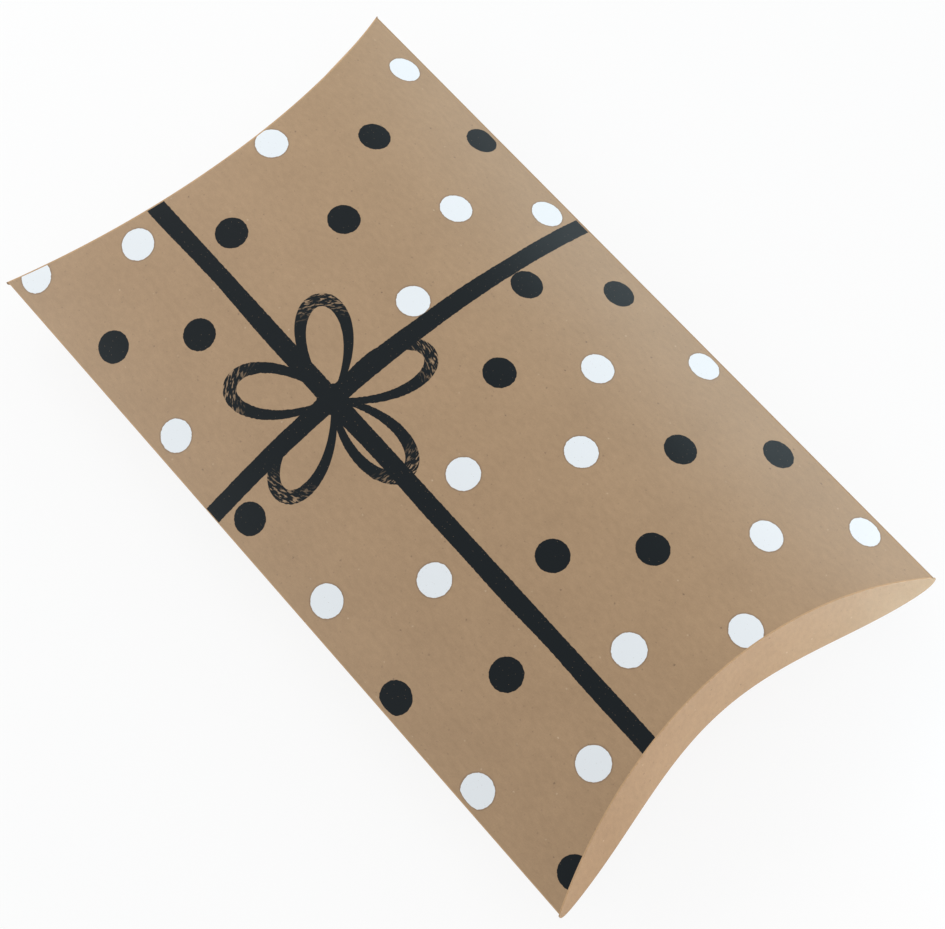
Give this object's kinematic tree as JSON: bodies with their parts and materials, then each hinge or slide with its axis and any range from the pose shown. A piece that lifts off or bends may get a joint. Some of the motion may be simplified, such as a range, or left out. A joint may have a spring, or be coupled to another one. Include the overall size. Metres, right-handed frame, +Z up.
{
  "type": "pillow box",
  "caption": "Closed cardboard pillow box with two curved panels, a glued side seam and a pair of curved tuck flaps at each end that bend open.",
  "frame": {"origin": "under the middle of the box, at the height of the bottom panel's crest, which it rests on", "axes": "+X across the box to the glued seam, +Y along its length to the far end, +Z up to the crest of the top panel"},
  "size_m": [0.1459, 0.2512, 0.0372],
  "materials": {
    "printed_kraft": "uncoated brown board with a satin black and white print",
    "plain_kraft": "uncoated light brown board with fine dark flecks",
    "dried_glue": "dull dried dispersion glue"
  },
  "bodies": {
    "sleeve": {"top_panel": "printed_kraft", "bottom_panel": "printed_kraft", "side_fold": "printed_kraft", "seam_fold": "printed_kraft", "glue_tab": "plain_kraft", "glue_line": "dried_glue"},
    "near_outer_flap_centre": {"near_outer_flap_centre": "plain_kraft"},
    "near_outer_flap_left_shoulder": {"near_outer_flap_left_shoulder": "plain_kraft"},
    "near_outer_flap_left_side": {"near_outer_flap_left_side": "plain_kraft"},
    "near_outer_flap_left_tip": {"near_outer_flap_left_tip": "plain_kraft"},
    "near_outer_flap_right_shoulder": {"near_outer_flap_right_shoulder": "plain_kraft"},
    "near_outer_flap_right_side": {"near_outer_flap_right_side": "plain_kraft"},
    "near_outer_flap_right_tip": {"near_outer_flap_right_tip": "plain_kraft"},
    "near_inner_flap_centre": {"near_inner_flap_centre": "plain_kraft"},
    "near_inner_flap_left_shoulder": {"near_inner_flap_left_shoulder": "plain_kraft"},
    "near_inner_flap_left_side": {"near_inner_flap_left_side": "plain_kraft"},
    "near_inner_flap_right_shoulder": {"near_inner_flap_right_shoulder": "plain_kraft"},
    "near_inner_flap_right_side": {"near_inner_flap_right_side": "plain_kraft"},
    "far_outer_flap_centre": {"far_outer_flap_centre": "plain_kraft"},
    "far_outer_flap_left_shoulder": {"far_outer_flap_left_shoulder": "plain_kraft"},
    "far_outer_flap_left_side": {"far_outer_flap_left_side": "plain_kraft"},
    "far_outer_flap_left_tip": {"far_outer_flap_left_tip": "plain_kraft"},
    "far_outer_flap_right_shoulder": {"far_outer_flap_right_shoulder": "plain_kraft"},
    "far_outer_flap_right_side": {"far_outer_flap_right_side": "plain_kraft"},
    "far_outer_flap_right_tip": {"far_outer_flap_right_tip": "plain_kraft"},
    "far_inner_flap_centre": {"far_inner_flap_centre": "plain_kraft"},
    "far_inner_flap_left_shoulder": {"far_inner_flap_left_shoulder": "plain_kraft"},
    "far_inner_flap_left_side": {"far_inner_flap_left_side": "plain_kraft"},
    "far_inner_flap_right_shoulder": {"far_inner_flap_right_shoulder": "plain_kraft"},
    "far_inner_flap_right_side": {"far_inner_flap_right_side": "plain_kraft"}
  },
  "joints": [
    {"name": "near_outer_flap_swing", "type": "hinge", "parent": "sleeve", "child": "near_outer_flap_centre", "pos_m": [0, -0.10632, 0.03702], "axis": [-1, 0, 0], "range_deg": [0, 60]},
    {"name": "near_outer_flap_left_shoulder_bend", "type": "hinge", "parent": "near_outer_flap_centre", "child": "near_outer_flap_left_shoulder", "pos_m": [-0.01028, -0.10621, 0.03678], "axis": [0, -0.2932, -0.956], "range_deg": [0, 10]},
    {"name": "near_outer_flap_left_side_bend", "type": "hinge", "parent": "near_outer_flap_left_shoulder", "child": "near_outer_flap_left_side", "pos_m": [-0.03083, -0.10903, 0.03399], "axis": [0, -0.3614, -0.9324], "range_deg": [0, 11]},
    {"name": "near_outer_flap_left_tip_bend", "type": "hinge", "parent": "near_outer_flap_left_side", "child": "near_outer_flap_left_tip", "pos_m": [-0.05138, -0.11483, 0.02828], "axis": [0, -0.4166, -0.9091], "range_deg": [0, 13.5]},
    {"name": "near_outer_flap_right_shoulder_bend", "type": "hinge", "parent": "near_outer_flap_centre", "child": "near_outer_flap_right_shoulder", "pos_m": [0.01028, -0.10621, 0.03678], "axis": [0, 0.2932, 0.956], "range_deg": [0, 10]},
    {"name": "near_outer_flap_right_side_bend", "type": "hinge", "parent": "near_outer_flap_right_shoulder", "child": "near_outer_flap_right_side", "pos_m": [0.03083, -0.10903, 0.03399], "axis": [0, 0.3614, 0.9324], "range_deg": [0, 11]},
    {"name": "near_outer_flap_right_tip_bend", "type": "hinge", "parent": "near_outer_flap_right_side", "child": "near_outer_flap_right_tip", "pos_m": [0.05138, -0.11483, 0.02828], "axis": [0, 0.4166, 0.9091], "range_deg": [0, 13.5]},
    {"name": "near_inner_flap_swing", "type": "hinge", "parent": "sleeve", "child": "near_inner_flap_centre", "pos_m": [0, -0.1061, 0], "axis": [1, 0, 0], "range_deg": [0, 86]},
    {"name": "near_inner_flap_left_shoulder_bend", "type": "hinge", "parent": "near_inner_flap_centre", "child": "near_inner_flap_left_shoulder", "pos_m": [-0.01028, -0.1062, 0.00035], "axis": [0, 0.016, -0.9999], "range_deg": [0, 15.8]},
    {"name": "near_inner_flap_left_side_bend", "type": "hinge", "parent": "near_inner_flap_left_shoulder", "child": "near_inner_flap_left_side", "pos_m": [-0.03083, -0.10902, 0.00312], "axis": [0, 0.016, -0.9999], "range_deg": [0, 14.1]},
    {"name": "near_inner_flap_right_shoulder_bend", "type": "hinge", "parent": "near_inner_flap_centre", "child": "near_inner_flap_right_shoulder", "pos_m": [0.01028, -0.1062, 0.00035], "axis": [0, -0.016, 0.9999], "range_deg": [0, 15.8]},
    {"name": "near_inner_flap_right_side_bend", "type": "hinge", "parent": "near_inner_flap_right_shoulder", "child": "near_inner_flap_right_side", "pos_m": [0.03083, -0.10902, 0.00312], "axis": [0, -0.016, 0.9999], "range_deg": [0, 14.1]},
    {"name": "far_outer_flap_swing", "type": "hinge", "parent": "sleeve", "child": "far_outer_flap_centre", "pos_m": [0, 0.10632, 0.03702], "axis": [1, 0, 0], "range_deg": [0, 60]},
    {"name": "far_outer_flap_left_shoulder_bend", "type": "hinge", "parent": "far_outer_flap_centre", "child": "far_outer_flap_left_shoulder", "pos_m": [-0.01028, 0.10621, 0.03678], "axis": [0, -0.2932, 0.956], "range_deg": [0, 10]},
    {"name": "far_outer_flap_left_side_bend", "type": "hinge", "parent": "far_outer_flap_left_shoulder", "child": "far_outer_flap_left_side", "pos_m": [-0.03083, 0.10903, 0.03399], "axis": [0, -0.3614, 0.9324], "range_deg": [0, 11]},
    {"name": "far_outer_flap_left_tip_bend", "type": "hinge", "parent": "far_outer_flap_left_side", "child": "far_outer_flap_left_tip", "pos_m": [-0.05138, 0.11483, 0.02828], "axis": [0, -0.4166, 0.9091], "range_deg": [0, 13.5]},
    {"name": "far_outer_flap_right_shoulder_bend", "type": "hinge", "parent": "far_outer_flap_centre", "child": "far_outer_flap_right_shoulder", "pos_m": [0.01028, 0.10621, 0.03678], "axis": [0, 0.2932, -0.956], "range_deg": [0, 10]},
    {"name": "far_outer_flap_right_side_bend", "type": "hinge", "parent": "far_outer_flap_right_shoulder", "child": "far_outer_flap_right_side", "pos_m": [0.03083, 0.10903, 0.03399], "axis": [0, 0.3614, -0.9324], "range_deg": [0, 11]},
    {"name": "far_outer_flap_right_tip_bend", "type": "hinge", "parent": "far_outer_flap_right_side", "child": "far_outer_flap_right_tip", "pos_m": [0.05138, 0.11483, 0.02828], "axis": [0, 0.4166, -0.9091], "range_deg": [0, 13.5]},
    {"name": "far_inner_flap_swing", "type": "hinge", "parent": "sleeve", "child": "far_inner_flap_centre", "pos_m": [0, 0.1061, 0], "axis": [-1, 0, 0], "range_deg": [0, 86]},
    {"name": "far_inner_flap_left_shoulder_bend", "type": "hinge", "parent": "far_inner_flap_centre", "child": "far_inner_flap_left_shoulder", "pos_m": [-0.01028, 0.1062, 0.00035], "axis": [0, 0.016, 0.9999], "range_deg": [0, 15.8]},
    {"name": "far_inner_flap_left_side_bend", "type": "hinge", "parent": "far_inner_flap_left_shoulder", "child": "far_inner_flap_left_side", "pos_m": [-0.03083, 0.10902, 0.00312], "axis": [0, 0.016, 0.9999], "range_deg": [0, 14.1]},
    {"name": "far_inner_flap_right_shoulder_bend", "type": "hinge", "parent": "far_inner_flap_centre", "child": "far_inner_flap_right_shoulder", "pos_m": [0.01028, 0.1062, 0.00035], "axis": [0, -0.016, -0.9999], "range_deg": [0, 15.8]},
    {"name": "far_inner_flap_right_side_bend", "type": "hinge", "parent": "far_inner_flap_right_shoulder", "child": "far_inner_flap_right_side", "pos_m": [0.03083, 0.10902, 0.00312], "axis": [0, -0.016, -0.9999], "range_deg": [0, 14.1]}
  ],
  "couplings": [
    {"joint": "near_outer_flap_left_shoulder_bend", "follows": "near_outer_flap_swing", "ratio": 0.16667},
    {"joint": "near_outer_flap_left_side_bend", "follows": "near_outer_flap_swing", "ratio": 0.18333},
    {"joint": "near_outer_flap_left_tip_bend", "follows": "near_outer_flap_swing", "ratio": 0.225},
    {"joint": "near_outer_flap_right_shoulder_bend", "follows": "near_outer_flap_swing", "ratio": 0.16667},
    {"joint": "near_outer_flap_right_side_bend", "follows": "near_outer_flap_swing", "ratio": 0.18333},
    {"joint": "near_outer_flap_right_tip_bend", "follows": "near_outer_flap_swing", "ratio": 0.225},
    {"joint": "near_inner_flap_swing", "follows": "near_outer_flap_swing", "ratio": 1.4333},
    {"joint": "near_inner_flap_left_shoulder_bend", "follows": "near_outer_flap_swing", "ratio": 0.26333},
    {"joint": "near_inner_flap_left_side_bend", "follows": "near_outer_flap_swing", "ratio": 0.235},
    {"joint": "near_inner_flap_right_shoulder_bend", "follows": "near_outer_flap_swing", "ratio": 0.26333},
    {"joint": "near_inner_flap_right_side_bend", "follows": "near_outer_flap_swing", "ratio": 0.235},
    {"joint": "far_outer_flap_left_shoulder_bend", "follows": "far_outer_flap_swing", "ratio": 0.16667},
    {"joint": "far_outer_flap_left_side_bend", "follows": "far_outer_flap_swing", "ratio": 0.18333},
    {"joint": "far_outer_flap_left_tip_bend", "follows": "far_outer_flap_swing", "ratio": 0.225},
    {"joint": "far_outer_flap_right_shoulder_bend", "follows": "far_outer_flap_swing", "ratio": 0.16667},
    {"joint": "far_outer_flap_right_side_bend", "follows": "far_outer_flap_swing", "ratio": 0.18333},
    {"joint": "far_outer_flap_right_tip_bend", "follows": "far_outer_flap_swing", "ratio": 0.225},
    {"joint": "far_inner_flap_swing", "follows": "far_outer_flap_swing", "ratio": 1.4333},
    {"joint": "far_inner_flap_left_shoulder_bend", "follows": "far_outer_flap_swing", "ratio": 0.26333},
    {"joint": "far_inner_flap_left_side_bend", "follows": "far_outer_flap_swing", "ratio": 0.235},
    {"joint": "far_inner_flap_right_shoulder_bend", "follows": "far_outer_flap_swing", "ratio": 0.26333},
    {"joint": "far_inner_flap_right_side_bend", "follows": "far_outer_flap_swing", "ratio": 0.235}
  ]
}
